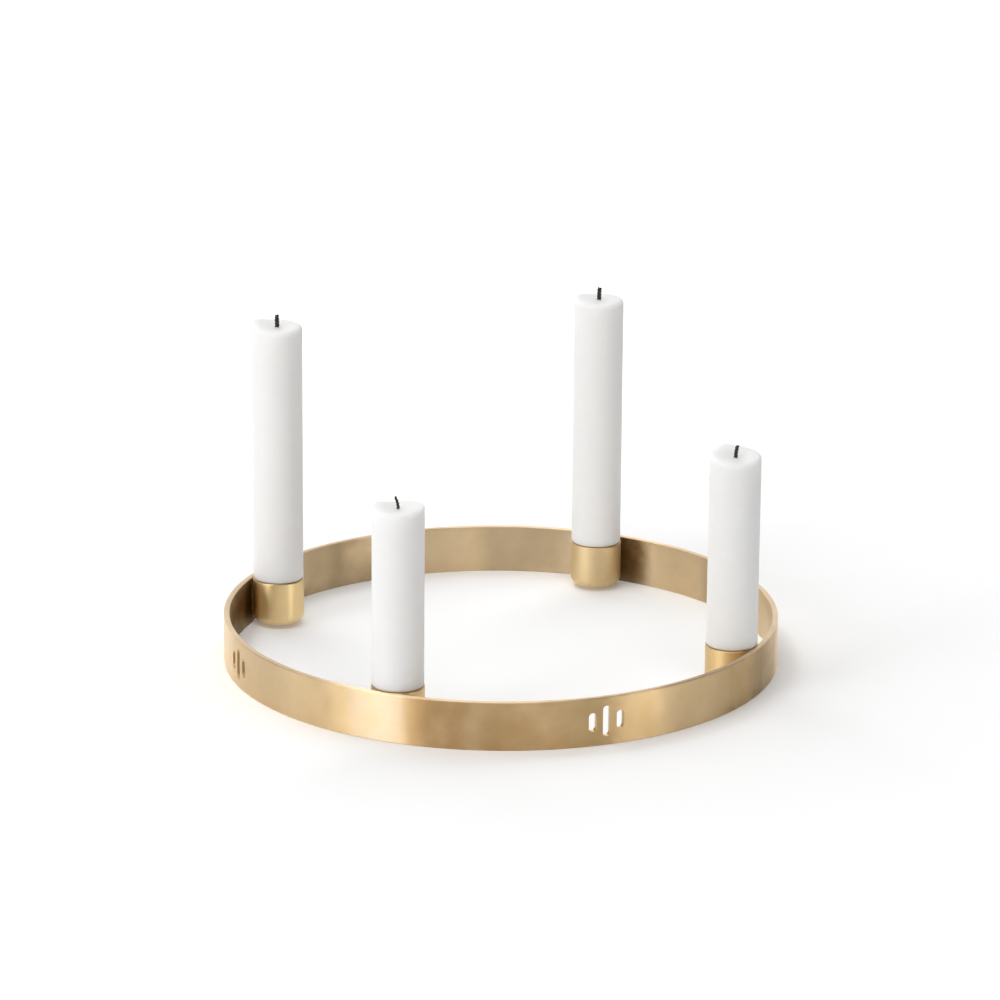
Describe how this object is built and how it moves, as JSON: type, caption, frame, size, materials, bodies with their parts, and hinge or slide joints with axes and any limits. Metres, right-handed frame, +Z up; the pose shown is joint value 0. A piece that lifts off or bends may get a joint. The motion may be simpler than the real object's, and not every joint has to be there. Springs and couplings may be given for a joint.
{
  "type": "advent candle holder",
  "caption": "Low brass hoop standing on a table, with brazed-in cups holding white candles for advent and groups of upright slots cut through the band.",
  "frame": {"origin": "centre of the hoop on the table that it stands on", "axes": "+Z up along the hoop's axis, +X through the right cup, +Y through the back cup"},
  "size_m": [0.24, 0.24, 0.1412],
  "materials": {
    "brass": "satin, lightly brushed round the hoop",
    "cup_brass": "satin, smooth drawn",
    "braze": "dull, dressed filler metal",
    "wax": "smooth white wax",
    "wick": "charred braided cotton"
  },
  "bodies": {
    "holder": {"band": "brass", "band_seam": "braze", "cup_right": "cup_brass", "cup_back": "cup_brass", "cup_left": "cup_brass", "cup_front": "cup_brass", "braze_right": "braze", "braze_back": "braze", "braze_left": "braze", "braze_front": "braze"},
    "right_candle": {"candle_right": "wax", "wick_right": "wick"},
    "back_candle": {"candle_back": "wax", "wick_back": "wick"},
    "left_candle": {"candle_left": "wax", "wick_left": "wick"},
    "front_candle": {"candle_front": "wax", "wick_front": "wick"}
  },
  "joints": [
    {"name": "right_candle_lift", "type": "slide", "parent": "holder", "child": "right_candle", "axis": [0, 0, 1], "range_m": [0, 0.03]},
    {"name": "back_candle_lift", "type": "slide", "parent": "holder", "child": "back_candle", "axis": [0, 0, 1], "range_m": [0, 0.03]},
    {"name": "left_candle_lift", "type": "slide", "parent": "holder", "child": "left_candle", "axis": [0, 0, 1], "range_m": [0, 0.03]},
    {"name": "front_candle_lift", "type": "slide", "parent": "holder", "child": "front_candle", "axis": [0, 0, 1], "range_m": [0, 0.03]}
  ]
}
